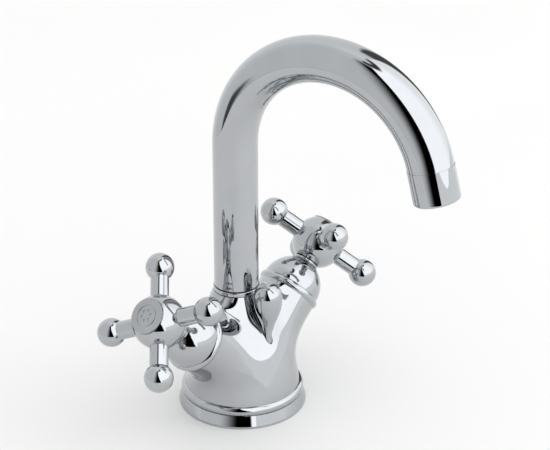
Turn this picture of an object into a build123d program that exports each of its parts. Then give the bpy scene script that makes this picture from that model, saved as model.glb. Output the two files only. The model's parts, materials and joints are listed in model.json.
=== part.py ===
from build123d import *

import os
from math import asin, cos, degrees, radians, sin, sqrt

# Two-handle basin mixer: a hooped swivel spout on a forked body, a cross handle with four
# ball-ended arms on each branch, and a pull-up waste rod in front of the spout.
# Origin: centre of the base on the deck. +Z up, spout towards -Y, hot side at -X.

# Clearances
seat_gap = 0.05  # between pieces fixed together
running_gap = 0.05  # radial, between a turning or sliding piece and its bearing
free_gap = 0.3  # between turning pieces that never touch
face_gap = 0.02  # between the lapped faces of the ceramic discs
water_gap = 0.5  # round the headpart's barrel, where the water leaves
cut_margin = 1.0  # how far a cut or a buried end runs past the face it has to reach

# Base
base_radius = 31.8
band_height = 6.2
band_taper = 1.8
edge_height = 1.2
bead_height = 4.6
bead_inset = 1.4
bead_foot = 0.4
foot_radius = 22.0
seal_width = 3.5
seal_height = 1.6

# Body casting
skirt_inset = 3.5
skirt_fullness = 2.0
waist_radius = 17.9
waist_height = 38.0
column_offset = 3.6
socket_top = 61.0
socket_margin = 0.4
shoulder_step = 1.9
shoulder_drop = 5.0
branch_tilt = 50.75
branch_crossing = 19.6
branch_length = 42.1
branch_margin = 0.4
branch_flare = 6.1
branch_root = 14.0

# Waterways
supply_spacing = 20.0
supply_offset = 3.0
supply_thread_radius = 5.0
supply_depth = 12.0
waterway_radius = 3.6
stud_thread_radius = 4.0
stud_offset = 13.0
stud_depth = 15.0
mixing_radius = 3.0
sump_depth = 0.5

# Spindle
spindle_radius = 4.4
spline_step = 0.4
spline_run_out = 1.4
spline_count = 20
spline_groove_radius = 0.35
flange_width = 1.2
flange_height = 2.4
lug_height = 1.5
lug_angle = 40.0
quarter_turn = 90.0
stop_margin = 1.0
drive_tab_height = 0.8
drive_tab_width = 3.0
drive_tab_inset = 0.5
circlip_thickness = 0.8
circlip_width = 1.6
circlip_gap_angle = 30.0
circlip_seat_depth = 0.7
o_ring_radius = 0.6
o_ring_groove = 0.8
spindle_seal_steps = (4.0, 8.0)

# Ceramic headpart
disc_thickness = 2.6
disc_rim = 2.1
disc_hub_radius = 1.6
disc_port_angle = 80.0
disc_port_roof = 0.6
seat_seal_height = 1.4
seat_seal_inset = 0.5
seat_seal_width = 2.4
barrel_wall = 1.55
barrel_relief = 0.28
seal_drop = 1.0
thread_length = 8.5
thread_step = 1.0
hex_height = 6.1
hex_inset = 0.2
neck_wall = 2.45
neck_length = 5.8
window_width = 6.0
window_inset = 0.3

# Bonnet
trim_ring_height = 3.9
trim_ring_step = 1.2
trim_ring_foot = 0.3
bonnet_height = 14.3
bonnet_skirt_wall = 1.2
bonnet_wall = 2.0
crown_wall = 1.6
neck_ring_height = 1.2
neck_ring_step = 0.2
neck_ring_round = 0.4

# Cross handle
hub_radius = 13.2
hub_foot_wall = 1.55
arm_length = 27.67
arm_radius = 4.5
arm_seat_margin = 0.25
arm_spigot_radius = 2.85
arm_spigot_length = 3.8
ball_radius = 7.04
adapter_wall = 1.3
adapter_drop = 0.4
cap_radius = 8.7
cap_thickness = 1.0
cap_rim = 0.34
cap_ledge = 2.3
cap_spigot_wall = 1.5
cap_spigot_length = 3.0
emblem_inset = 3.7
emblem_depth = 0.25
emblem_width = 0.5
emblem_dimple_radius = 0.8
emblem_dimples = 6
screw_key = 2.5
screw_radius = 2.0
screw_length = 9.0
screw_head_radius = 3.4
screw_head_height = 2.4
web_below = 1.1
web_above = 1.9
web_space = 1.0
cross_angle = {"hot": 30.8, "cold": 48.3}

# Spout
tube_radius = 11.0
tube_wall = 1.5
tube_top = 138.9
bend_radius = 53.5
bend_angle = 165.4
swivel_rest = 10.4
swivel_limit = 60.0
collar_height = 2.2
collar_round = 0.5
glide_height = 0.8
spigot_step = 0.7
spigot_wall = 2.8
spigot_depth = 18.0
spigot_plug = 9.0
spout_seal_depths = (11.4, 15.4)
spout_seal_radius = 0.8
spout_seal_play = 0.2
stop_screw_radius = 2.0
stop_screw_dog = 1.4
stop_screw_drop = 4.6
stop_groove_depth = 1.4
stop_screw_key = 2.0
stop_screw_sink = 0.8
sleeve_length = 16.4
sleeve_step = 0.2
sleeve_wall = 2.2
sleeve_ledge_width = 1.6
sleeve_plug_length = 4.0
sleeve_plug_gap = 0.4  # leaves room for the curve of the tube's bore
sleeve_round = 1.2
insert_length = 7.0
insert_recess = 1.0
insert_rim = 1.35
insert_hole_radius = 0.7
insert_rings = 3
washer_height = 1.6
washer_lip = 1.0

# Pull-up waste rod
knob_radius = 7.1
knob_gap = 3.0
knob_height = 63.4
stem_length = 18.3
stem_wall = 0.6
stem_shoulder = 0.2
stem_shoulder_drop = 9.5
stem_throat = 0.8
stem_throat_drop = 12.0
rod_radius = 2.0
rod_end_height = 4.0
rod_chamfer = 0.5
bush_wall = 1.0
bush_length = 8.0

sides = {"hot": -1, "cold": 1}

# Radii of the headpart, from the spindle outwards to the branch
spline_radius = spindle_radius - spline_step
flange_radius = spindle_radius + flange_width
stop_bore = flange_radius + free_gap
disc_radius = flange_radius + lug_height
disc_port_radius = disc_radius - disc_rim
cavity_radius = disc_radius + seat_gap
turning_disc_radius = cavity_radius - free_gap
lug_radius = cavity_radius - free_gap
seat_seal_radius = disc_radius - seat_seal_inset
barrel_radius = cavity_radius + barrel_wall
chamber_radius = barrel_radius + water_gap
seal_groove_radius = chamber_radius - 2 * o_ring_radius
thread_radius = chamber_radius + thread_step
hex_radius = 2 * (thread_radius - hex_inset) / sqrt(3)
neck_radius = spindle_radius + running_gap + neck_wall
circlip_floor = spindle_radius - circlip_seat_depth
circlip_radius = spindle_radius + circlip_width
spindle_groove_radius = spindle_radius - 2 * o_ring_radius
bonnet_bore = hex_radius + free_gap
trim_bore = bonnet_bore + bonnet_skirt_wall
bonnet_radius = trim_bore + bonnet_wall
trim_ring_radius = bonnet_radius + trim_ring_step
branch_radius = bonnet_radius + branch_margin
crown_bore = spindle_radius + free_gap
crown_radius = crown_bore + crown_wall
neck_ring_radius = crown_radius + neck_ring_step
adapter_radius = spline_radius + adapter_wall
hub_foot_radius = adapter_radius + hub_foot_wall

# Levels along a branch, from the point where the two branches cross
thread_start = branch_length - thread_length
chamber_top = thread_start - barrel_relief
flange_top = chamber_top - free_gap
flange_base = flange_top - flange_height
turning_disc_base = flange_base - disc_thickness
fixed_disc_top = turning_disc_base - face_gap
fixed_disc_base = fixed_disc_top - disc_thickness
seat = fixed_disc_base - seat_seal_height
seal_groove = chamber_top - seal_drop
spindle_seal_levels = [chamber_top + step for step in spindle_seal_steps]
hex_top = branch_length + hex_height
neck_top = hex_top + neck_length
circlip_base = neck_top + free_gap
circlip_top = circlip_base + circlip_thickness
bonnet_floor = circlip_top + 2 * free_gap
trim_ring_top = branch_length + trim_ring_height
bonnet_top = trim_ring_top + bonnet_height
neck_ring_top = bonnet_top + neck_ring_height
hub_foot = neck_ring_top + free_gap
hub_centre = hub_foot + sqrt(hub_radius**2 - hub_foot_radius**2)
web_base = hub_centre - web_below
web_top = hub_centre + web_above
spindle_top = web_base - web_space
spline_start = hub_foot + adapter_drop - spline_run_out
spline_length = spindle_top - spline_start
cap_seat = hub_centre + sqrt(hub_radius**2 - (cap_radius + cap_rim) ** 2)
cap_top = cap_seat + cap_thickness
cap_spigot_radius = cap_radius - cap_ledge
emblem_radius = cap_radius - emblem_inset
arm_seat = sqrt(hub_radius**2 - (arm_radius + arm_seat_margin) ** 2)
arm_end = arm_seat - arm_spigot_length
arm_neck = arm_length - sqrt(ball_radius**2 - arm_radius**2)

# Base and spout
base_height = band_height + bead_height
band_top_radius = base_radius - band_taper
bead_radius = base_radius - bead_inset
skirt_radius = base_radius - skirt_inset
seal_inner = (foot_radius + base_radius - seal_width) / 2
shoulder_height = socket_top - shoulder_drop
socket_radius = tube_radius + socket_margin
shoulder_radius = socket_radius + shoulder_step
collar_top = socket_top + collar_height
glide_top = collar_top + glide_height
tube_base = glide_top + face_gap
tube_bore = tube_radius - tube_wall
spigot_radius = tube_bore - spigot_step
spigot_bore = spigot_radius - spigot_wall
spigot_end = tube_base - spigot_depth
socket_bore = spigot_radius + running_gap
seal_half_groove = spout_seal_radius + spout_seal_play
mixing_height = spigot_end - mixing_radius
column_floor = mixing_height - mixing_radius - sump_depth
stop_screw_height = socket_top - stop_screw_drop
stop_groove_radius = spigot_radius - stop_groove_depth
stop_screw_face = shoulder_radius - stop_screw_sink
stop_screw_length = stop_screw_face - socket_bore - free_gap
stop_screw_reach = socket_bore - stop_groove_radius
stop_groove_half = stop_screw_dog + free_gap
groove_margin = degrees(asin(stop_screw_dog / stop_groove_radius)) + stop_margin
sleeve_radius = tube_radius + sleeve_step
sleeve_bore = sleeve_radius - sleeve_wall
sleeve_ledge = sleeve_bore - sleeve_ledge_width
sleeve_plug_radius = tube_bore - sleeve_plug_gap
insert_radius = sleeve_bore - seat_gap
insert_pitch = (insert_radius - insert_rim - insert_hole_radius) / insert_rings
washer_base = sleeve_length - insert_recess - insert_length - washer_height
insert_base = washer_base + washer_height

# Waste rod
knob_offset = tube_radius - column_offset + knob_gap + knob_radius
knob_foot = knob_height - stem_length
stem_radius = rod_radius + seat_gap + stem_wall
bush_radius = rod_radius + running_gap + bush_wall
bush_top = rod_end_height + bush_length

os.makedirs("parts", exist_ok=True)


def save(piece, node):
    piece.part.label = node
    export_step(piece.part, f"parts/{node}.step")


def radial_plane(origin, along, across, angle=0.0):
    """Plane through an axis: its x runs out from the axis at the angle, its y along the axis."""
    sideways = along.cross(across)
    out = across * cos(radians(angle)) + sideways * sin(radians(angle))
    return Plane(origin=origin, x_dir=out, z_dir=out.cross(along))


def turned(plane, axis, outline, mode=Mode.ADD, arc=360.0):
    """Turn a closed outline of (radius, height) points about the axis."""
    with BuildSketch(plane) as profile:
        with BuildLine():
            Polyline(*outline, close=True)
        make_face()
    revolve(profile.sketch, axis=axis, revolution_arc=arc, mode=mode)


def ring(inner, outer, low, high):
    """Outline of a ring's section, or of a plain cylinder's when inner is 0."""
    return [(inner, low), (outer, low), (outer, high), (inner, high)]


def torus_ring(plane, axis, radius, height, section):
    """O-ring: a round section turned about the axis."""
    with BuildSketch(plane) as profile:
        with Locations((radius, height)):
            Circle(section)
    revolve(profile.sketch, axis=axis)


class Branch:
    """Working planes of the hot or cold branch, whose axis leans out from the body."""

    def __init__(self, side):
        tilt = radians(branch_tilt)
        self.origin = Vector(0, 0, branch_crossing)
        self.along = Vector(side * sin(tilt), 0, cos(tilt))
        self.across = Vector(cos(tilt), 0, -side * sin(tilt))
        self.axis = Axis(self.origin, self.along)
        self.section = self.radial(0.0)
        self.opening = -side

    def radial(self, angle):
        return radial_plane(self.origin, self.along, self.across, angle)

    def level(self, height):
        return Plane(origin=self.origin + self.along * height, x_dir=self.across, z_dir=self.along)

    def turn(self, outline, mode=Mode.ADD):
        turned(self.section, self.axis, outline, mode)


branches = {name: Branch(side) for name, side in sides.items()}

up = Vector(0, 0, 1)
column_origin = Vector(0, column_offset, 0)
column_axis = Axis(column_origin, up)
forward = Vector(sin(radians(swivel_rest)), -cos(radians(swivel_rest)), 0)
column_section = radial_plane(column_origin, up, forward)
stop_screw_plane = Plane(
    origin=(0, column_offset + stop_screw_face, stop_screw_height), x_dir=(1, 0, 0), z_dir=(0, 1, 0)
)

rod_origin = Vector(0, -knob_offset, 0)
rod_section = radial_plane(rod_origin, up, Vector(1, 0, 0))
rod_axis = Axis(rod_origin, up)


with BuildPart() as mixer_body:
    # Bell-shaped foot
    skirt_middle = (skirt_radius + waist_radius) / 2
    skirt_knee = (3 * base_height + waist_height) / 4 + skirt_fullness
    with BuildSketch(Plane.XZ):
        with BuildLine():
            Line((0, base_height), (skirt_radius, base_height))
            Spline(
                (skirt_radius, base_height),
                (skirt_middle, skirt_knee),
                (waist_radius, waist_height),
                tangents=((-0.25, 1), (0, 1)),
            )
            Polyline((waist_radius, waist_height), (0, waist_height), (0, base_height))
        make_face()
    revolve(axis=Axis.Z)
    # Neck from the waist up to the column socket
    with BuildSketch(Plane.XY.offset(waist_height)):
        Circle(waist_radius)
    with BuildSketch(Plane.XY.offset(shoulder_height)):
        with Locations((0, column_offset)):
            Circle(shoulder_radius)
    loft()
    socket = [(0, shoulder_height - cut_margin), (shoulder_radius, shoulder_height - cut_margin)]
    socket += [(shoulder_radius, shoulder_height), (socket_radius, socket_top), (0, socket_top)]
    turned(column_section, column_axis, socket)
    # Branches, flared where they grow out of the foot
    flare_radius = branch_radius + branch_flare
    for branch in branches.values():
        with BuildSketch(branch.section):
            with BuildLine():
                Spline(
                    (branch_radius, branch_length),
                    (branch_radius + branch_flare / 4, (branch_length + branch_root) / 2),
                    (flare_radius, branch_root),
                    tangents=((0.06, -1), (0.5, -1)),
                )
                Polyline((flare_radius, branch_root), (0, branch_root), (0, branch_length))
                Line((0, branch_length), (branch_radius, branch_length))
            make_face()
        revolve(axis=branch.axis)
    # Spigot that centres the base ring
    with BuildSketch(Plane.XY):
        Circle(foot_radius - seat_gap)
    extrude(amount=base_height + cut_margin)
    # Column bore
    turned(column_section, column_axis, ring(0, socket_bore, column_floor, socket_top), Mode.SUBTRACT)
    for name, branch in branches.items():
        # Valve chamber and its thread
        chamber = [(0, seat), (chamber_radius, seat), (chamber_radius, thread_start)]
        chamber += [(thread_radius, thread_start), (thread_radius, branch_length), (0, branch_length)]
        branch.turn(chamber, Mode.SUBTRACT)
        # Way down to the supply port
        port_x = sides[name] * supply_spacing / 2
        meet = port_x / branch.along.X
        branch.turn(ring(0, waterway_radius, meet, seat), Mode.SUBTRACT)
        with BuildSketch(Plane.XY):
            with Locations((port_x, supply_offset)):
                Circle(supply_thread_radius)
        extrude(amount=supply_depth, mode=Mode.SUBTRACT)
        with BuildSketch(Plane.XY):
            with Locations((port_x, supply_offset)):
                Circle(waterway_radius)
        extrude(amount=branch_crossing + meet * branch.along.Z, mode=Mode.SUBTRACT)
        # Passage from the side of the chamber, level with the turning disc, to the column bore
        outlet_level = branch.origin + branch.along * (turning_disc_base + disc_thickness / 2)
        chamber_side = outlet_level + branch.across * branch.opening * (chamber_radius - cut_margin)
        sump = column_origin + up * mixing_height
        passage = chamber_side - sump
        with BuildSketch(Plane(origin=sump, z_dir=passage)):
            Circle(mixing_radius)
        extrude(amount=passage.length, mode=Mode.SUBTRACT)
    # Fixing stud thread
    with BuildSketch(Plane.XY):
        with Locations((0, stud_offset)):
            Circle(stud_thread_radius)
    extrude(amount=stud_depth, mode=Mode.SUBTRACT)
    # Rod passage down through the foot, and the seat of its bush from below
    turned(rod_section, rod_axis, ring(0, bush_radius, -cut_margin, bush_top), Mode.SUBTRACT)
    rod_way = ring(0, rod_radius + free_gap, 0, knob_foot)
    turned(rod_section, rod_axis, rod_way, Mode.SUBTRACT)
    # Thread of the spout stop screw
    with BuildSketch(stop_screw_plane.offset(2 * stop_screw_sink)):
        Circle(stop_screw_radius + seat_gap)
    extrude(amount=-stop_screw_face - 2 * stop_screw_sink, mode=Mode.SUBTRACT)
save(mixer_body, "mixer_body")

with BuildPart() as base_ring:
    with BuildSketch(Plane.XZ):
        with BuildLine():
            bead_start = (band_top_radius - bead_foot, band_height)
            Polyline(
                bead_start,
                (band_top_radius, band_height),
                (base_radius, edge_height),
                (base_radius, 0),
                (foot_radius, 0),
                (foot_radius, base_height),
                (skirt_radius, base_height),
            )
            bead_middle = (bead_radius, (band_height + base_height) / 2)
            ThreePointArc((skirt_radius, base_height), bead_middle, bead_start)
        make_face()
    revolve(axis=Axis.Z)
    groove = ring(seal_inner - seat_gap, seal_inner + seal_width + seat_gap, 0, seal_height)
    turned(Plane.XZ, Axis.Z, groove, Mode.SUBTRACT)
save(base_ring, "base_ring")

with BuildPart() as base_seal:
    turned(Plane.XZ, Axis.Z, ring(seal_inner, seal_inner + seal_width, 0, seal_height))
save(base_seal, "base_seal")

with BuildPart() as spout_collar:
    collar = ring(spigot_radius + free_gap, socket_radius, socket_top, collar_top)
    turned(column_section, column_axis, collar)
    fillet(spout_collar.edges().filter_by(GeomType.CIRCLE).group_by(SortBy.RADIUS)[-1], collar_round)
save(spout_collar, "spout_collar")

with BuildPart() as glide_ring:
    glide = ring(socket_bore, tube_radius - free_gap, collar_top, glide_top)
    turned(column_section, column_axis, glide)
save(glide_ring, "glide_ring")

with BuildPart() as spout_stop_screw:
    with BuildSketch(stop_screw_plane):
        Circle(stop_screw_radius)
    extrude(amount=-stop_screw_length)
    with BuildSketch(stop_screw_plane.offset(-stop_screw_length)):
        Circle(stop_screw_dog)
    extrude(amount=-stop_screw_reach)
    with BuildSketch(stop_screw_plane):
        RegularPolygon(radius=stop_screw_key / sqrt(3), side_count=6)
    extrude(amount=-stop_screw_key, mode=Mode.SUBTRACT)
save(spout_stop_screw, "spout_stop_screw")

with BuildPart() as rod_bush:
    bush = ring(rod_radius + running_gap, bush_radius - seat_gap, rod_end_height, bush_top)
    turned(rod_section, rod_axis, bush)
save(rod_bush, "rod_bush")

with BuildPart() as lift_rod:
    turned(rod_section, rod_axis, ring(0, rod_radius, rod_end_height, knob_height))
    chamfer(lift_rod.edges().group_by(Axis.Z)[0], rod_chamfer)
save(lift_rod, "lift_rod")

with BuildPart() as lift_knob:
    # A ball that narrows to a slim stem on the rod
    with BuildSketch(rod_section):
        with BuildLine():
            CenterArc((0, knob_height), knob_radius, 0, 90)
            Bezier(
                (knob_radius, knob_height),
                (knob_radius + stem_shoulder, knob_height - stem_shoulder_drop),
                (stem_radius + stem_throat, knob_height - stem_throat_drop),
                (stem_radius, knob_foot),
            )
            Polyline((stem_radius, knob_foot), (0, knob_foot), (0, knob_height + knob_radius))
        make_face()
    revolve(axis=rod_axis)
    rod_hole = ring(0, rod_radius + seat_gap, knob_foot - cut_margin, knob_height)
    turned(rod_section, rod_axis, rod_hole, Mode.SUBTRACT)
save(lift_knob, "lift_knob")


def sector(branch, centre, width, outline, mode):
    """Turn an outline through part of a turn about the branch, centred on an angle."""
    turned(branch.radial(centre - width / 2), branch.axis, outline, mode, arc=width)


def headpart(name, branch):
    """Fixed pieces of one ceramic headpart."""
    with BuildPart() as seat_seal:
        branch.turn(ring(seat_seal_radius - seat_seal_width, seat_seal_radius, seat, fixed_disc_base))
    save(seat_seal, f"{name}_seat_seal")

    with BuildPart() as fixed_disc:
        branch.turn(ring(0, disc_radius, fixed_disc_base, fixed_disc_top))
        port = ring(disc_hub_radius, disc_port_radius, fixed_disc_base, fixed_disc_top)
        for angle in (0, 180):
            sector(branch, angle, disc_port_angle, port, Mode.SUBTRACT)
    save(fixed_disc, f"{name}_fixed_disc")

    with BuildPart() as valve_housing:
        outer = [(0, seat + free_gap), (barrel_radius, seat + free_gap), (barrel_radius, thread_start)]
        outer += [(thread_radius - seat_gap, thread_start + seat_gap)]
        outer += [(thread_radius - seat_gap, branch_length), (neck_radius, branch_length)]
        outer += [(neck_radius, neck_top), (0, neck_top)]
        branch.turn(outer)
        with BuildSketch(branch.level(branch_length)):
            RegularPolygon(radius=hex_radius, side_count=6)
        extrude(amount=hex_height)
        stop_base = flange_base + free_gap
        cavity = [(0, seat), (cavity_radius, seat), (cavity_radius, stop_base)]
        cavity += [(stop_bore, stop_base), (stop_bore, chamber_top)]
        cavity += [(spindle_radius + running_gap, chamber_top)]
        cavity += [(spindle_radius + running_gap, neck_top), (0, neck_top)]
        branch.turn(cavity, Mode.SUBTRACT)
        # Room for the spindle's lug to swing between its stops
        lug_room = ring(0, cavity_radius, stop_base, chamber_top)
        swing = quarter_turn + lug_angle + 2 * stop_margin
        sector(branch, branch.opening * quarter_turn / 2, swing, lug_room, Mode.SUBTRACT)
        # Side windows for the water, and the groove of the housing seal
        with BuildSketch(branch.level(turning_disc_base + window_inset)):
            Rectangle(2 * thread_radius, window_width)
        extrude(amount=disc_thickness - 2 * window_inset, mode=Mode.SUBTRACT)
        groove_base = seal_groove - o_ring_groove
        groove_top = seal_groove + o_ring_groove
        branch.turn(ring(seal_groove_radius, barrel_radius, groove_base, groove_top), Mode.SUBTRACT)
    save(valve_housing, f"{name}_valve_housing")

    with BuildPart() as housing_seal:
        middle = seal_groove_radius + o_ring_radius
        torus_ring(branch.section, branch.axis, middle, seal_groove, o_ring_radius)
    save(housing_seal, f"{name}_housing_seal")


def bonnet_set(name, branch):
    """Domed bonnet with the trim ring under it and the neck ring on it."""
    with BuildPart() as trim_ring:
        with BuildSketch(branch.section):
            with BuildLine():
                foot = (bonnet_radius + trim_ring_foot, branch_length)
                top = (bonnet_radius, trim_ring_top)
                Polyline(top, (trim_bore, trim_ring_top), (trim_bore, branch_length), foot)
                middle = (trim_ring_radius, (branch_length + trim_ring_top) / 2)
                ThreePointArc(foot, middle, top)
            make_face()
        revolve(axis=branch.axis)
    save(trim_ring, f"{name}_trim_ring")

    with BuildPart() as bonnet:
        with BuildSketch(branch.section):
            with BuildLine():
                TangentArc((bonnet_radius, trim_ring_top), (crown_radius, bonnet_top), tangent=(0, 1))
                Polyline(
                    (crown_radius, bonnet_top),
                    (crown_bore, bonnet_top),
                    (crown_bore, bonnet_floor),
                    (neck_radius + seat_gap, bonnet_floor),
                    (neck_radius + seat_gap, hex_top + free_gap),
                    (bonnet_bore, hex_top + free_gap),
                    (bonnet_bore, branch_length + free_gap),
                    (trim_bore - seat_gap, branch_length + free_gap),
                    (trim_bore - seat_gap, trim_ring_top),
                    (bonnet_radius, trim_ring_top),
                )
            make_face()
        revolve(axis=branch.axis)
    save(bonnet, f"{name}_bonnet")

    with BuildPart() as neck_ring:
        branch.turn(ring(crown_bore, neck_ring_radius, bonnet_top, neck_ring_top))
        outer_edges = neck_ring.edges().filter_by(GeomType.CIRCLE).group_by(SortBy.RADIUS)[-1]
        fillet(outer_edges, neck_ring_round)
    save(neck_ring, f"{name}_neck_ring")


def spindle_set(name, branch):
    """Spindle, moving disc, seals and circlip that turn with the handle."""
    with BuildPart() as turning_disc:
        branch.turn(ring(0, turning_disc_radius, turning_disc_base, flange_base))
        port_roof = flange_base - drive_tab_height - disc_port_roof
        port = ring(disc_hub_radius, cavity_radius, turning_disc_base, port_roof)
        for angle in (90, 270):
            sector(branch, angle, disc_port_angle, port, Mode.SUBTRACT)
        with BuildSketch(branch.level(flange_base - drive_tab_height - seat_gap)):
            Rectangle(2 * cavity_radius, drive_tab_width + 2 * seat_gap)
        extrude(amount=drive_tab_height + seat_gap, mode=Mode.SUBTRACT)
    save(turning_disc, f"{name}_turning_disc")

    with BuildPart() as spindle:
        outline = [(0, flange_base), (flange_radius, flange_base), (flange_radius, flange_top)]
        outline += [(spindle_radius, flange_top), (spindle_radius, spline_start)]
        outline += [(spline_radius, spline_start), (spline_radius, spindle_top), (0, spindle_top)]
        branch.turn(outline)
        sector(branch, 0, lug_angle, ring(0, lug_radius, flange_base, flange_top), Mode.ADD)
        with BuildSketch(branch.level(flange_base - drive_tab_height)):
            Rectangle(2 * (flange_radius - drive_tab_inset), drive_tab_width)
        extrude(amount=drive_tab_height)
        for level in spindle_seal_levels:
            low, high = level - o_ring_groove, level + o_ring_groove
            branch.turn(ring(spindle_groove_radius, spindle_radius, low, high), Mode.SUBTRACT)
        circlip_groove = ring(circlip_floor, spindle_radius, circlip_base, circlip_top + seat_gap)
        branch.turn(circlip_groove, Mode.SUBTRACT)
        with BuildSketch(branch.level(spline_start)):
            with PolarLocations(spline_radius, spline_count):
                Circle(spline_groove_radius)
        extrude(amount=spline_length, mode=Mode.SUBTRACT)
        thread_end = web_top - screw_length - cut_margin
        branch.turn(ring(0, screw_radius + seat_gap, thread_end, spindle_top), Mode.SUBTRACT)
    save(spindle, f"{name}_spindle")

    with BuildPart() as spindle_seals:
        for level in spindle_seal_levels:
            middle = spindle_radius - o_ring_radius
            torus_ring(branch.section, branch.axis, middle, level, o_ring_radius)
    save(spindle_seals, f"{name}_spindle_seals")

    with BuildPart() as circlip:
        branch.turn(ring(circlip_floor + seat_gap, circlip_radius, circlip_base, circlip_top))
        gap = ring(0, 2 * circlip_radius, circlip_base, circlip_top)
        sector(branch, 180, circlip_gap_angle, gap, Mode.SUBTRACT)
    save(circlip, f"{name}_circlip")


def cross_handle(name, branch):
    """Cross handle: hub, four arms with ball ends, adapter, screw and index cap."""
    centre = branch.origin + branch.along * hub_centre
    arm_planes = [
        radial_plane(centre, branch.radial(angle).x_dir, branch.along)
        for angle in [cross_angle[name] + 90 * turn for turn in range(4)]
    ]

    with BuildPart() as handle_hub:
        with Locations(centre):
            Sphere(hub_radius)
        split(bisect_by=branch.level(hub_foot), keep=Keep.TOP)
        split(bisect_by=branch.level(cap_seat), keep=Keep.BOTTOM)
        branch.turn(ring(0, adapter_radius + seat_gap, hub_foot, web_base), Mode.SUBTRACT)
        branch.turn(ring(0, screw_radius + free_gap, hub_foot, cap_seat), Mode.SUBTRACT)
        branch.turn(ring(0, cap_spigot_radius + seat_gap, web_top, cap_seat), Mode.SUBTRACT)
        arm_socket = [(0, arm_end), (arm_spigot_radius + seat_gap, arm_end)]
        arm_socket += [(arm_spigot_radius + seat_gap, arm_seat), (hub_radius, arm_seat)]
        arm_socket += [(hub_radius, 2 * hub_radius), (0, 2 * hub_radius)]
        for plane in arm_planes:
            turned(plane, Axis(centre, plane.y_dir), arm_socket, Mode.SUBTRACT)
    save(handle_hub, f"{name}_handle_hub")

    with BuildPart() as handle_arms:
        for plane in arm_planes:
            ball_end = (0, arm_length + ball_radius)
            with BuildSketch(plane) as profile:
                with BuildLine():
                    Polyline(
                        ball_end,
                        (0, arm_end + seat_gap),
                        (arm_spigot_radius, arm_end + seat_gap),
                        (arm_spigot_radius, arm_seat),
                        (arm_radius, arm_seat),
                        (arm_radius, arm_neck),
                    )
                    ThreePointArc((arm_radius, arm_neck), (ball_radius, arm_length), ball_end)
                make_face()
            revolve(profile.sketch, axis=Axis(centre, plane.y_dir))
    save(handle_arms, f"{name}_handle_arms")

    with BuildPart() as spline_adapter:
        branch.turn(ring(spline_radius + seat_gap, adapter_radius, hub_foot + adapter_drop, web_base))
    save(spline_adapter, f"{name}_spline_adapter")

    with BuildPart() as handle_screw:
        screw_base, head_top = web_top - screw_length, web_top + screw_head_height
        outline = [(0, screw_base), (screw_radius, screw_base), (screw_radius, web_top)]
        outline += [(screw_head_radius, web_top), (screw_head_radius, head_top), (0, head_top)]
        branch.turn(outline)
        with BuildSketch(branch.level(head_top)):
            RegularPolygon(radius=screw_key / sqrt(3), side_count=6)
        extrude(amount=-screw_head_height / 2, mode=Mode.SUBTRACT)
    save(handle_screw, f"{name}_handle_screw")

    with BuildPart() as index_cap:
        branch.turn(ring(0, cap_radius, cap_seat, cap_top))
        spigot_inner = cap_spigot_radius - cap_spigot_wall
        branch.turn(ring(spigot_inner, cap_spigot_radius, cap_seat - cap_spigot_length, cap_seat))
        # Shallow ring with dimples inside it
        emblem = ring(emblem_radius, emblem_radius + emblem_width, cap_top - emblem_depth, cap_top)
        branch.turn(emblem, Mode.SUBTRACT)
        with BuildSketch(branch.level(cap_top)):
            with PolarLocations(emblem_radius / 2, emblem_dimples):
                Circle(emblem_dimple_radius)
        extrude(amount=-emblem_depth, mode=Mode.SUBTRACT)
    save(index_cap, f"{name}_index_cap")


for name, branch in branches.items():
    headpart(name, branch)
    bonnet_set(name, branch)
    spindle_set(name, branch)
    cross_handle(name, branch)

# Spout
with BuildLine(column_section) as spout_path:
    Line((0, tube_base), (0, tube_top))
    JernArc(start=(0, tube_top), tangent=(0, 1), radius=bend_radius, arc_size=-bend_angle)
outlet = Plane(origin=spout_path.line @ 1, x_dir=column_section.z_dir, z_dir=spout_path.line % 1)
outlet_axis = Axis(outlet.origin, outlet.z_dir)
outlet_section = radial_plane(outlet.origin, outlet.z_dir, outlet.x_dir)

with BuildPart() as spout_tube:
    with BuildSketch(Plane(origin=column_origin + up * tube_base, z_dir=up)) as wall:
        Circle(tube_radius)
        Circle(tube_bore, mode=Mode.SUBTRACT)
    sweep(wall.sketch, path=spout_path.line)
save(spout_tube, "spout_tube")

with BuildPart() as spout_spigot:
    plug_radius, plug_top = tube_bore - seat_gap, tube_base + spigot_plug
    outline = [(spigot_bore, spigot_end), (spigot_radius, spigot_end), (spigot_radius, tube_base)]
    outline += [(plug_radius, tube_base), (plug_radius, plug_top), (spigot_bore, plug_top)]
    turned(column_section, column_axis, outline)
    for depth in spout_seal_depths:
        low, high = tube_base - depth - seal_half_groove, tube_base - depth + seal_half_groove
        groove = ring(spigot_radius - 2 * spout_seal_radius, spigot_radius, low, high)
        turned(column_section, column_axis, groove, Mode.SUBTRACT)
    # Groove across the back that the stop screw's dog runs in
    low, high = stop_screw_height - stop_groove_half, stop_screw_height + stop_groove_half
    stop_groove = ring(stop_groove_radius, 2 * spigot_radius, low, high)
    half_sweep = swivel_limit + groove_margin
    start_plane = radial_plane(column_origin, up, forward, 180 - half_sweep)
    turned(start_plane, column_axis, stop_groove, Mode.SUBTRACT, arc=2 * half_sweep)
save(spout_spigot, "spout_spigot")

with BuildPart() as spigot_seals:
    for depth in spout_seal_depths:
        middle = spigot_radius - spout_seal_radius
        torus_ring(column_section, column_axis, middle, tube_base - depth, spout_seal_radius)
save(spigot_seals, "spigot_seals")

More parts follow.
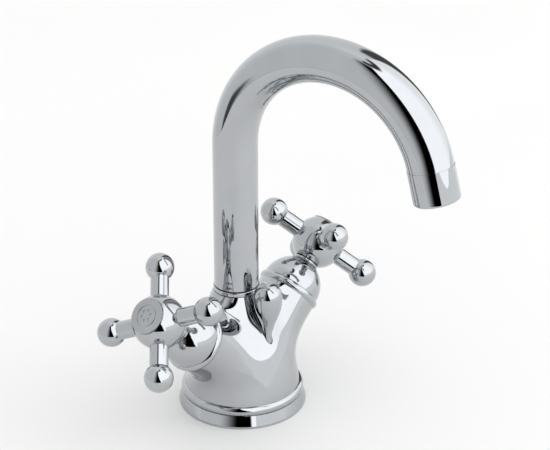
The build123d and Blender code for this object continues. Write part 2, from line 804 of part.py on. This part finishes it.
with BuildPart() as aerator_sleeve:
    turned(outlet_section, outlet_axis, ring(sleeve_ledge, sleeve_radius, 0, sleeve_length))
    sleeve_edges = aerator_sleeve.edges().filter_by(GeomType.CIRCLE).group_by(SortBy.RADIUS)[-1]
    fillet(sleeve_edges.sort_by(Axis.Z)[0], sleeve_round)
    turned(outlet_section, outlet_axis, ring(sleeve_ledge, sleeve_plug_radius, -sleeve_plug_length, 0))
    insert_bore = ring(0, sleeve_bore, washer_base, sleeve_length)
    turned(outlet_section, outlet_axis, insert_bore, Mode.SUBTRACT)
save(aerator_sleeve, "aerator_sleeve")

with BuildPart() as aerator_washer:
    washer = ring(sleeve_ledge - washer_lip, insert_radius, washer_base, insert_base)
    turned(outlet_section, outlet_axis, washer)
save(aerator_washer, "aerator_washer")

with BuildPart() as aerator_insert:
    with BuildSketch(outlet.offset(insert_base)):
        Circle(insert_radius)
        Circle(insert_hole_radius, mode=Mode.SUBTRACT)
        for count in range(1, insert_rings + 1):
            with PolarLocations(count * insert_pitch, 6 * count):
                Circle(insert_hole_radius, mode=Mode.SUBTRACT)
    extrude(amount=insert_length)
save(aerator_insert, "aerator_insert")
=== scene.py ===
import json
import math

import bpy
import numpy as np
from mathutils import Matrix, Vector


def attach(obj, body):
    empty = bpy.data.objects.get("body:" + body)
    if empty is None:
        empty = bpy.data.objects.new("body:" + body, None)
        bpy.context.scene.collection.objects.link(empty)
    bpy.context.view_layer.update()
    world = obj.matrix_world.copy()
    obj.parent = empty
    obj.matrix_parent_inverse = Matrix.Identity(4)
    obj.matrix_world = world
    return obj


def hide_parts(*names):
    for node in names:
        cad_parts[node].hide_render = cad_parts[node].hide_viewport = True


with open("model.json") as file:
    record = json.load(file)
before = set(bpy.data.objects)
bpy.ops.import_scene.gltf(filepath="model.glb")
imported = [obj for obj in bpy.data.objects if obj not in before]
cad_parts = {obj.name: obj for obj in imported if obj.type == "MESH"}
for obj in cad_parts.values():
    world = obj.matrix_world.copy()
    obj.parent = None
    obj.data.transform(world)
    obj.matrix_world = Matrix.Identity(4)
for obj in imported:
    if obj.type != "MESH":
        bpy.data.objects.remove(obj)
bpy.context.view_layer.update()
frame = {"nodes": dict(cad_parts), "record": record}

MM = 0.001

# View of the photograph
VIEW_AZIMUTH = -47.34
VIEW_ELEVATION = 26.563
VIEW_DISTANCE = 1.0
VIEW_CENTRE = Vector((-0.0137, -0.03484, 0.11317))
LENS = 140.35
SENSOR_WIDTH = 36.0

# Floor and lamps
TABLE_RADIUS = 0.38
FLOOR_RADIUS = 6.0
FLOOR_COLOUR = (0.875, 0.875, 0.87)
FLOOR_TONE = 0.985
AMBIENT = 1.02
KEY_POWER = 5.0
KEY_SIZE = 0.9
KEY_PLACE = Vector((0.9, -1.1, 1.5))

# Surroundings that only reflections show: brightness, and angles in degrees
GLOW_COLOUR = (0.985, 0.995, 1.0, 1.0)
SHELL_RADIUS = 5.0
SHELL_STEP = 1.0
WALL_LIGHT = 0.90
BACK_LIGHT = 0.16
BACK_MIDDLE = 47
BACK_START = 100
BACK_FADE = 60
CEILING_LIGHT = 0.12
CEILING_START = 60
CEILING_FADE = 25
WINDOW_LIGHT = 1.95
WINDOW_FALL = 0.4
WINDOW_FALL_START = 35
WINDOW_FALL_FADE = 50
WINDOW_LEFT = -29
WINDOW_LEAN = 0.36
WINDOW_LEAN_SPAN = (-20, 65)
WINDOW_RIGHT = 97
WINDOW_FADE = 3
WINDOW_TOP = 77
WINDOW_UPWARD = (-40, WINDOW_TOP, 5)
DARK_LEFT = -64
DARK_FADE = 34
DARK_SHIFT = 0.75
DARK_BEND_START = 45
DARK_BEND = 0.03
DARK_TOP = 79
DARK_TOP_FADE = 8
# Dark patches: from, to and fade across, the same upward, lean with height, darkness
DARK_PATCHES = (
    ((-85, 98, 20), (WINDOW_TOP, 85, 4), 0.0, 0.93),  # over the window
    ((WINDOW_RIGHT, 116, 5), (-8, 60, 14), 0.0, 0.9),  # right of the window
    ((-144, -131, 6), (-30, -9, 8), 0.8, 0.9),  # behind, below the horizon
    ((71, 86, 5), (-16, -8, 4), 0.0, 0.5),  # low in the right of the window
)
CARD_LIGHT = 1.2
CARD_DISTANCE = 0.62
CARD_TOP = 0.115
CARD_DROP = 0.3
CARD_EDGES = (-24, 84)
CARD_STEP = 3

# Body casting, in millimetres
TILT = math.radians(50.75)
CROSSING = 19.6
RIM = 42.1
BRANCH_RADIUS = 15.4
BRANCH_FLARE = 2.6
BLEND = 17.0
COLUMN_OFFSET = 3.6
LEAN_START = 30.0
LEAN_HEIGHT = 26.0
SOCKET_TOP = 61.0
SOCKET_BORE = 8.85
COLUMN_FLOOR = 39.5
COLUMN_CUT_TOP = 70.0
FOOT_TOP = 10.8
FOOT_RADIUS = 21.95
TRUNK = (
    (4.0, 29.3),
    (FOOT_TOP, 28.35),
    (16.0, 26.9),
    (22.0, 24.6),
    (29.0, 21.8),
    (38.0, 18.4),
    (56.0, 13.3),
    (SOCKET_TOP, 11.4),
    (66.0, 9.6),
)
CHAMBER_RADIUS = 9.2
CHAMBER_FLOOR = 24.0
CHAMBER_END = 34.0
THREAD_RADIUS = 10.2
THREAD_START = 33.6
THREAD_END = 50.0
PORT_SPACING = 20.0
PORT_OFFSET = 3.0
PORT_RADIUS = 5.0
PORT_DEPTH = 12.0
STUD_OFFSET = 13.0
STUD_RADIUS = 4.0
STUD_DEPTH = 15.0
STOP_SCREW_HEIGHT = 56.4
STOP_SCREW_RADIUS = 2.05
STOP_SCREW_SPAN = (6.0, 30.0)
ROD_OFFSET = 17.5
ROD_WAY = 2.3
ROD_WAY_TOP = 45.0
BUSH_RADIUS = 3.2
BUSH_TOP = 12.0

# Sampling and cutting of the casting, in millimetres
LOW_CORNER = np.array((-52.0, -32.0, 5.0))
HIGH_CORNER = np.array((52.0, 32.0, 66.0))
VOXEL = 0.8
BORDER_VALUE = 0.5
SLOPE_STEP = 0.1
SETTLE_PASSES = 5
SKIN_DEPTH = 0.2
SKIN_ANGLE = 0.9
FINE_SIDES = 96
FOOT_SIDES = 192
SLAB_RADIUS = 60.0
SLAB_SIDES = 8
CAP_RADIUS = 70.0
UNDER = -20.0
BEYOND = 90.0
OVERRUN = 1.0


# ---------------------------------------------------------------- materials


def new_material(name):
    material = bpy.data.materials.new(name)
    material.use_nodes = True
    return material, material.node_tree, material.node_tree.nodes["Principled BSDF"]


def noise(tree, scale, detail):
    """Noise over the object's own metres; scale is in features per metre."""
    place = tree.nodes.new("ShaderNodeTexCoord")
    texture = tree.nodes.new("ShaderNodeTexNoise")
    texture.inputs["Scale"].default_value = scale
    texture.inputs["Detail"].default_value = detail
    tree.links.new(place.outputs["Object"], texture.inputs["Vector"])
    return texture.outputs["Fac"]


def between(tree, factor, low, high):
    """Spread a noise over low to high, a number or a colour."""
    ramp = tree.nodes.new("ShaderNodeMapRange")
    ramp.inputs["From Min"].default_value = 0.3
    ramp.inputs["From Max"].default_value = 0.7
    tree.links.new(factor, ramp.inputs["Value"])
    if isinstance(low, float):
        ramp.inputs["To Min"].default_value = low
        ramp.inputs["To Max"].default_value = high
        return ramp.outputs["Result"]
    mix = tree.nodes.new("ShaderNodeMix")
    mix.data_type = "RGBA"
    mix.inputs["A"].default_value = (*low, 1.0)
    mix.inputs["B"].default_value = (*high, 1.0)
    tree.links.new(ramp.outputs["Result"], mix.inputs["Factor"])
    return mix.outputs["Result"]


def bump(tree, shader, height, depth):
    node = tree.nodes.new("ShaderNodeBump")
    node.inputs["Strength"].default_value = 1.0
    node.inputs["Distance"].default_value = depth
    tree.links.new(height, node.inputs["Height"])
    tree.links.new(node.outputs["Normal"], shader.inputs["Normal"])


def finish(name, colours, roughness, metallic, grain, depth, tone=60.0):
    """A surface whose colour, gloss and relief each vary a little."""
    material, tree, shader = new_material(name)
    shader.inputs["Metallic"].default_value = metallic
    tree.links.new(between(tree, noise(tree, tone, 2.0), *colours), shader.inputs["Base Color"])
    smear = noise(tree, 2 * tone, 4.0)
    tree.links.new(between(tree, smear, *roughness), shader.inputs["Roughness"])
    bump(tree, shader, noise(tree, grain, 3.0), depth)
    return material


materials = {
    name: finish(name, colours, roughness, metallic, grain, depth)
    for name, colours, roughness, metallic, grain, depth in (
        ("chrome", ((0.445, 0.458, 0.474), (0.47, 0.482, 0.498)), (0.012, 0.035), 1.0, 260.0, 3e-6),
        ("satin_chrome", ((0.40, 0.41, 0.425), (0.45, 0.46, 0.475)), (0.2, 0.3), 1.0, 900.0, 1e-5),
        ("brass", ((0.72, 0.52, 0.24), (0.8, 0.6, 0.3)), (0.18, 0.32), 1.0, 1500.0, 1e-5),
        ("ceramic", ((0.86, 0.85, 0.81), (0.92, 0.91, 0.88)), (0.18, 0.3), 0.0, 1200.0, 4e-6),
        ("rubber", ((0.018, 0.018, 0.02), (0.035, 0.035, 0.038)), (0.5, 0.7), 0.0, 1800.0, 2e-5),
        ("black_plastic", ((0.012, 0.012, 0.013), (0.022, 0.022, 0.024)), (0.3, 0.45), 0.0, 1400.0, 1e-5),
        ("white_plastic", ((0.8, 0.8, 0.78), (0.87, 0.87, 0.85)), (0.32, 0.45), 0.0, 1400.0, 1e-5),
        ("steel", ((0.5, 0.5, 0.51), (0.6, 0.6, 0.61)), (0.2, 0.35), 1.0, 2000.0, 1e-5),
    )
}


def give(obj, slot):
    obj.data.materials.clear()
    obj.data.materials.append(materials[slot])


for part in frame["record"]["subparts"]:
    give(frame["nodes"][part["node"]], part["material_slot"])


# ---------------------------------------------------------------- body casting


def smooth_curve(points):
    """Natural cubic spline through points: a function of the first coordinate."""
    x, y = np.array(points, float).T
    h = np.diff(x)
    n = len(x)
    system, right = np.eye(n), np.zeros(n)
    for i in range(1, n - 1):
        system[i, i - 1 : i + 2] = h[i - 1], 2 * (h[i - 1] + h[i]), h[i]
        right[i] = 3 * ((y[i + 1] - y[i]) / h[i] - (y[i] - y[i - 1]) / h[i - 1])
    c = np.linalg.solve(system, right)
    b = np.diff(y) / h - h * (2 * c[:-1] + c[1:]) / 3
    d = np.diff(c) / (3 * h)

    def at(value):
        i = np.clip(np.searchsorted(x, value) - 1, 0, n - 2)
        t = value - x[i]
        return y[i] + t * (b[i] + t * (c[i] + t * d[i]))

    return at


def ease(share):
    share = np.clip(share, 0.0, 1.0)
    return share * share * (3 - 2 * share)


def merge(a, b, width):
    """Smooth union of two fields, rounded over about that width."""
    h = np.maximum(width - np.abs(a - b), 0.0) / width
    return np.minimum(a, b) - h**3 * width / 6


trunk_radius = smooth_curve(TRUNK)


def branch_axis(side):
    return np.array((side * math.sin(TILT), 0.0, math.cos(TILT)))


def trunk_field(p):
    z = p[..., 2]
    lean = COLUMN_OFFSET * ease((z - LEAN_START) / LEAN_HEIGHT)
    r = np.hypot(p[..., 0], p[..., 1] - lean)
    slope = (trunk_radius(z + SLOPE_STEP) - trunk_radius(z - SLOPE_STEP)) / (2 * SLOPE_STEP)
    return (r - trunk_radius(z)) / np.sqrt(1 + slope**2)


def branch_field(p, side):
    q = p - np.array((0.0, 0.0, CROSSING))
    s = q @ branch_axis(side)
    r = np.sqrt(np.maximum((q**2).sum(-1) - s**2, 0.0))
    radius = BRANCH_RADIUS + BRANCH_FLARE * ease((RIM - s) / RIM)
    return np.maximum(r - radius, -s)


def casting_field(p):
    body = merge(branch_field(p, -1), branch_field(p, 1), BLEND)
    return merge(trunk_field(p), body, BLEND)


def gradient(field, p, h=0.02):
    out = np.empty_like(p)
    for axis in range(3):
        offset = np.zeros(3)
        offset[axis] = h
        out[:, axis] = (field(p + offset) - field(p - offset)) / (2 * h)
    return out


def surface_nets(values, origin, step):
    """Quads round the zero surface of a field sampled on a grid."""
    cells = tuple(n - 1 for n in values.shape)
    total = np.zeros(cells + (3,))
    count = np.zeros(cells)
    for axis in range(3):
        a, b = [d for d in range(3) if d != axis]
        for da in (0, 1):
            for db in (0, 1):
                start = [0, 0, 0]
                start[a], start[b] = da, db
                end = list(start)
                end[axis] = 1
                f0 = values[tuple(slice(s, s + n) for s, n in zip(start, cells))]
                f1 = values[tuple(slice(s, s + n) for s, n in zip(end, cells))]
                cross = (f0 < 0) != (f1 < 0)
                share = f0 / np.where(cross, f0 - f1, 1.0)
                total[..., axis] += np.where(cross, share, 0)
                total[..., a] += cross * da
                total[..., b] += cross * db
                count += cross
    active = count > 0
    index = np.full(cells, -1)
    index[active] = np.arange(active.sum())
    points = origin + step * (np.argwhere(active) + total[active] / count[active][:, None])
    quads = []
    for axis in range(3):
        lower = np.moveaxis(values, axis, 0)[:-1] < 0
        upper = np.moveaxis(values, axis, 0)[1:] < 0
        edge = np.moveaxis(lower != upper, 0, axis)
        rising = np.moveaxis(lower, 0, axis)
        at = np.argwhere(edge)
        a, b = np.eye(3, dtype=int)[(axis + 1) % 3], np.eye(3, dtype=int)[(axis + 2) % 3]
        at = at[((at @ a) > 0) & ((at @ b) > 0) & ((at < cells).all(1))]
        quad = np.stack([index[tuple((at - d).T)] for d in (0 * a, a, a + b, b)], 1)
        flip = ~rising[tuple(at.T)]
        quad[flip] = quad[flip][:, ::-1]
        quads.append(quad)
    return points, np.concatenate(quads)


def mesh_object(name, points, faces):
    mesh = bpy.data.meshes.new(name)
    mesh.from_pydata(points.tolist(), [], faces.tolist())
    mesh.validate()
    obj = bpy.data.objects.new(name, mesh)
    bpy.context.scene.collection.objects.link(obj)
    return obj


def rod_between(start, end, radius, sides=FINE_SIDES):
    """Closed cylinder between two points, as a cutter or a plug."""
    start, end = np.array(start, float), np.array(end, float)
    along = (end - start) / np.linalg.norm(end - start)
    helper = np.array((1.0, 0, 0)) if abs(along[0]) < 0.9 else np.array((0, 1.0, 0))
    u = np.cross(along, helper)
    u /= np.linalg.norm(u)
    v = np.cross(along, u)
    angle = np.arange(sides) * 2 * math.pi / sides
    ring = radius * (np.cos(angle)[:, None] * u + np.sin(angle)[:, None] * v)
    points = np.concatenate((start + ring, end + ring)) * MM
    n = sides
    mesh = bpy.data.meshes.new("cutter")
    walls = [(i, (i + 1) % n, n + (i + 1) % n, n + i) for i in range(n)]
    mesh.from_pydata(points.tolist(), [], [*walls, tuple(range(n))[::-1], tuple(range(n, 2 * n))])
    obj = bpy.data.objects.new("cutter", mesh)
    bpy.context.scene.collection.objects.link(obj)
    return obj


def carve(obj, cutters):
    """Apply (operation, cutter) pairs to a mesh in turn."""
    for operation, cutter in cutters:
        modifier = obj.modifiers.new("cut", "BOOLEAN")
        modifier.operation = operation
        modifier.solver = "MANIFOLD"
        modifier.object = cutter
    graph = bpy.context.evaluated_depsgraph_get()
    mesh = bpy.data.meshes.new_from_object(obj.evaluated_get(graph))
    obj.modifiers.clear()
    obj.data = mesh
    for _, cutter in cutters:
        bpy.data.objects.remove(cutter)


def casting():
    """The forked body as one smooth skin, with its flat ends, bores and ports cut into it."""
    steps = [np.arange(a, b, VOXEL) for a, b in zip(LOW_CORNER, HIGH_CORNER)]
    grid = np.stack(np.meshgrid(*steps, indexing="ij"), -1)
    values = casting_field(grid)
    for axis in range(3):
        edge = np.moveaxis(values, axis, 0)
        edge[0] = np.maximum(edge[0], BORDER_VALUE)
        edge[-1] = np.maximum(edge[-1], BORDER_VALUE)
    points, quads = surface_nets(values, LOW_CORNER, VOXEL)
    inner = ((points > LOW_CORNER + 2 * VOXEL) & (points < HIGH_CORNER - 3 * VOXEL)).all(1)
    for _ in range(SETTLE_PASSES):
        p = points[inner]
        g = gradient(casting_field, p)
        move = casting_field(p)[:, None] * g / (g**2).sum(1)[:, None]
        points[inner] = p - np.clip(move, -VOXEL, VOXEL)
    obj = mesh_object("mixer_casting", points * MM, quads)

    up = np.array((0.0, 0.0, 1.0))
    column = np.array((0.0, COLUMN_OFFSET, 0.0))
    deck = np.zeros(3)
    crossing = up * CROSSING
    rod = np.array((0.0, -ROD_OFFSET, 0.0))
    stud = np.array((0.0, STUD_OFFSET, 0.0))
    screw = [np.array((0.0, y, STOP_SCREW_HEIGHT)) for y in STOP_SCREW_SPAN]
    cuts = [
        ("DIFFERENCE", rod_between(up * UNDER, up * FOOT_TOP, SLAB_RADIUS, SLAB_SIDES)),
        ("DIFFERENCE", rod_between(up * SOCKET_TOP, up * BEYOND, SLAB_RADIUS, SLAB_SIDES)),
        ("UNION", rod_between(deck, up * (FOOT_TOP + OVERRUN), FOOT_RADIUS, FOOT_SIDES)),
        ("DIFFERENCE", rod_between(column + up * COLUMN_FLOOR, column + up * COLUMN_CUT_TOP, SOCKET_BORE)),
        ("DIFFERENCE", rod_between(stud - up * OVERRUN, stud + up * STUD_DEPTH, STUD_RADIUS)),
        ("DIFFERENCE", rod_between(*screw, STOP_SCREW_RADIUS)),
        ("DIFFERENCE", rod_between(rod - up * OVERRUN, rod + up * ROD_WAY_TOP, ROD_WAY)),
        ("DIFFERENCE", rod_between(rod - up * OVERRUN, rod + up * BUSH_TOP, BUSH_RADIUS)),
    ]
    for side in (-1, 1):
        along = branch_axis(side)
        port = np.array((side * PORT_SPACING / 2, PORT_OFFSET, 0.0))
        cap = (crossing + along * RIM, crossing + along * BEYOND)
        chamber = (crossing + along * CHAMBER_FLOOR, crossing + along * CHAMBER_END)
        thread = (crossing + along * THREAD_START, crossing + along * THREAD_END)
        cuts += [
            ("DIFFERENCE", rod_between(*cap, CAP_RADIUS, SLAB_SIDES)),
            ("DIFFERENCE", rod_between(*chamber, CHAMBER_RADIUS)),
            ("DIFFERENCE", rod_between(*thread, THREAD_RADIUS)),
            ("DIFFERENCE", rod_between(port - up * OVERRUN, port + up * PORT_DEPTH, PORT_RADIUS)),
        ]
    carve(obj, cuts)
    skin_normals(obj)
    return obj


def skin_normals(obj):
    """Exact normals on the smooth skin; the cut faces stay flat."""
    mesh = obj.data
    co = np.empty(len(mesh.vertices) * 3)
    mesh.vertices.foreach_get("co", co)
    co = co.reshape(-1, 3) / MM
    starts = np.empty(len(mesh.polygons), int)
    totals = np.empty(len(mesh.polygons), int)
    centres = np.empty(len(mesh.polygons) * 3)
    flat = np.empty(len(mesh.polygons) * 3)
    mesh.polygons.foreach_get("loop_start", starts)
    mesh.polygons.foreach_get("loop_total", totals)
    mesh.polygons.foreach_get("center", centres)
    mesh.polygons.foreach_get("normal", flat)
    centres, flat = centres.reshape(-1, 3) / MM, flat.reshape(-1, 3)
    slope = gradient(casting_field, centres)
    slope /= np.linalg.norm(slope, axis=1)[:, None]
    on_skin = (np.abs(casting_field(centres)) < SKIN_DEPTH) & ((slope * flat).sum(1) > SKIN_ANGLE)
    vertex = np.empty(len(mesh.loops), int)
    mesh.loops.foreach_get("vertex_index", vertex)
    face = np.repeat(np.arange(len(starts)), totals)
    exact = gradient(casting_field, co)
    exact /= np.maximum(np.linalg.norm(exact, axis=1), 1e-9)[:, None]
    normals = np.where(on_skin[face][:, None], exact[vertex], flat[face])
    mesh.polygons.foreach_set("use_smooth", np.ones(len(starts), bool))
    mesh.normals_split_custom_set(normals.tolist())


body = casting()
give(body, "chrome")
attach(body, "mixer")
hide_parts("mixer_body")


# ---------------------------------------------------------------- studio


def disc(name, inner, outer, sides=128):
    """Flat ring on the ground, or a full disc when inner is 0."""
    angle = np.arange(sides) * 2 * math.pi / sides
    around = np.stack((np.cos(angle), np.sin(angle), 0 * angle), 1)
    i = np.arange(sides)
    if inner == 0:
        return mesh_object(name, outer * around, i[None, :])
    points = np.concatenate((inner * around, outer * around))
    j = (i + 1) % sides
    return mesh_object(name, points, np.stack((i, i + sides, j + sides, j), 1))


def floor():
    """A pale table, and the same ground beyond it that the metal doesn't reflect."""
    low = tuple(FLOOR_TONE * c for c in FLOOR_COLOUR)
    material = finish("floor", (low, FLOOR_COLOUR), (0.6, 0.8), 0.0, 300.0, 1e-5, 3.0)
    table = disc("table", 0, TABLE_RADIUS)
    ground = disc("ground", TABLE_RADIUS, FLOOR_RADIUS)
    for obj in (table, ground):
        obj.data.materials.append(material)
    ground.visible_glossy = False


def within(value, low, high, soft):
    """1 between low and high, fading over soft at both ends."""
    return ease((value - low) / soft + 0.5) * ease((high - value) / soft + 0.5)


def studio_light(a, e):
    """Brightness of the studio round the object, by azimuth and elevation in degrees."""
    light = WALL_LIGHT + BACK_LIGHT * ease((np.abs(a + BACK_MIDDLE) - BACK_START) / BACK_FADE)
    light += CEILING_LIGHT * ease((e - CEILING_START) / CEILING_FADE)
    edge = WINDOW_LEFT - WINDOW_LEAN * np.clip(e, *WINDOW_LEAN_SPAN)
    window = within(a, edge, WINDOW_RIGHT, WINDOW_FADE) * within(e, *WINDOW_UPWARD)
    pane = WINDOW_LIGHT - WINDOW_FALL * ease((a - WINDOW_FALL_START) / WINDOW_FALL_FADE)
    light += (pane - light) * window
    # Dark gap left of the window, wider towards the ceiling
    left = DARK_LEFT - DARK_BEND * np.maximum(e - DARK_BEND_START, 0) ** 2
    dark = ease((a - left) / DARK_FADE + DARK_SHIFT) * ease((edge - a) / WINDOW_FADE + 0.5)
    light *= 1 - dark * ease((DARK_TOP - e) / DARK_TOP_FADE)
    for across, upward, lean, darkness in DARK_PATCHES:
        light *= 1 - darkness * (within(a + lean * e, *across) * within(e, *upward))
    return light


def card():
    """A low pale board in front of the window, which the body and the handles reflect."""
    angle = np.radians(np.arange(*CARD_EDGES, CARD_STEP))
    around = np.stack((np.sin(angle), -np.cos(angle), 0 * angle), 1) * CARD_DISTANCE
    up = np.array((0.0, 0.0, 1.0))
    n = len(angle)
    i = np.arange(n - 1)
    quads = np.stack((i, i + 1, i + 1 + n, i + n), 1)
    obj = mesh_object("card", np.concatenate((around - CARD_DROP * up, around + CARD_TOP * up)), quads)
    light_only(obj, CARD_LIGHT)


def light_only(obj, brightness):
    """Make an object glow in reflections and nowhere else."""
    material = bpy.data.materials.new(obj.name)
    material.use_nodes = True
    tree = material.node_tree
    tree.nodes.clear()
    glow = tree.nodes.new("ShaderNodeEmission")
    glow.inputs["Color"].default_value = GLOW_COLOUR
    if brightness is None:
        read = tree.nodes.new("ShaderNodeAttribute")
        read.attribute_name = "light"
        tree.links.new(read.outputs["Fac"], glow.inputs["Strength"])
    else:
        glow.inputs["Strength"].default_value = brightness
    out = tree.nodes.new("ShaderNodeOutputMaterial")
    tree.links.new(glow.outputs["Emission"], out.inputs["Surface"])
    obj.data.materials.append(material)
    obj.visible_camera = False
    obj.visible_diffuse = False
    obj.visible_shadow = False
    obj.visible_transmission = False


def studio():
    """A far shell that only reflections show: a window, dark gaps and grey walls."""
    azimuths = np.arange(-180, 180, SHELL_STEP)
    elevations = np.arange(-90, 90 + SHELL_STEP, SHELL_STEP)
    a, e = np.meshgrid(azimuths, elevations, indexing="ij")
    ar, er = np.radians(a), np.radians(e)
    points = np.stack((np.sin(ar) * np.cos(er), -np.cos(ar) * np.cos(er), np.sin(er)), -1)
    n, m = a.shape
    i = np.arange(n)[:, None]
    j = np.arange(m - 1)[None, :]
    here, there = i * m + j, (i + 1) % n * m + j
    quads = np.stack((here, here + 1, there + 1, there), -1).reshape(-1, 4)
    obj = mesh_object("studio", SHELL_RADIUS * points.reshape(-1, 3), quads)
    attribute = obj.data.attributes.new("light", "FLOAT", "POINT")
    attribute.data.foreach_set("value", studio_light(a, e).ravel().astype(np.float32))
    light_only(obj, None)


def lamps():
    data = bpy.data.lights.new("key", "AREA")
    data.energy = KEY_POWER
    data.size = KEY_SIZE
    obj = bpy.data.objects.new("key", data)
    obj.location = KEY_PLACE
    obj.rotation_euler = (-KEY_PLACE).to_track_quat("-Z", "Y").to_euler()
    obj.visible_glossy = False
    obj.visible_camera = False
    bpy.context.scene.collection.objects.link(obj)
    world = bpy.data.worlds.new("studio")
    world.use_nodes = True
    world.node_tree.nodes["Background"].inputs["Color"].default_value = (1, 1, 1, 1)
    world.node_tree.nodes["Background"].inputs["Strength"].default_value = AMBIENT
    world.cycles_visibility.glossy = False
    bpy.context.scene.world = world


def camera():
    a, e = math.radians(VIEW_AZIMUTH), math.radians(VIEW_ELEVATION)
    back = Vector((math.sin(a) * math.cos(e), -math.cos(a) * math.cos(e), math.sin(e)))
    data = bpy.data.cameras.new("camera")
    data.lens = LENS
    data.sensor_width = SENSOR_WIDTH
    obj = bpy.data.objects.new("camera", data)
    obj.location = VIEW_CENTRE + back * VIEW_DISTANCE
    obj.rotation_euler = (-back).to_track_quat("-Z", "Y").to_euler()
    bpy.context.scene.collection.objects.link(obj)
    bpy.context.scene.camera = obj


floor()
studio()
card()
lamps()
camera()
bpy.context.scene.view_settings.view_transform = "Standard"
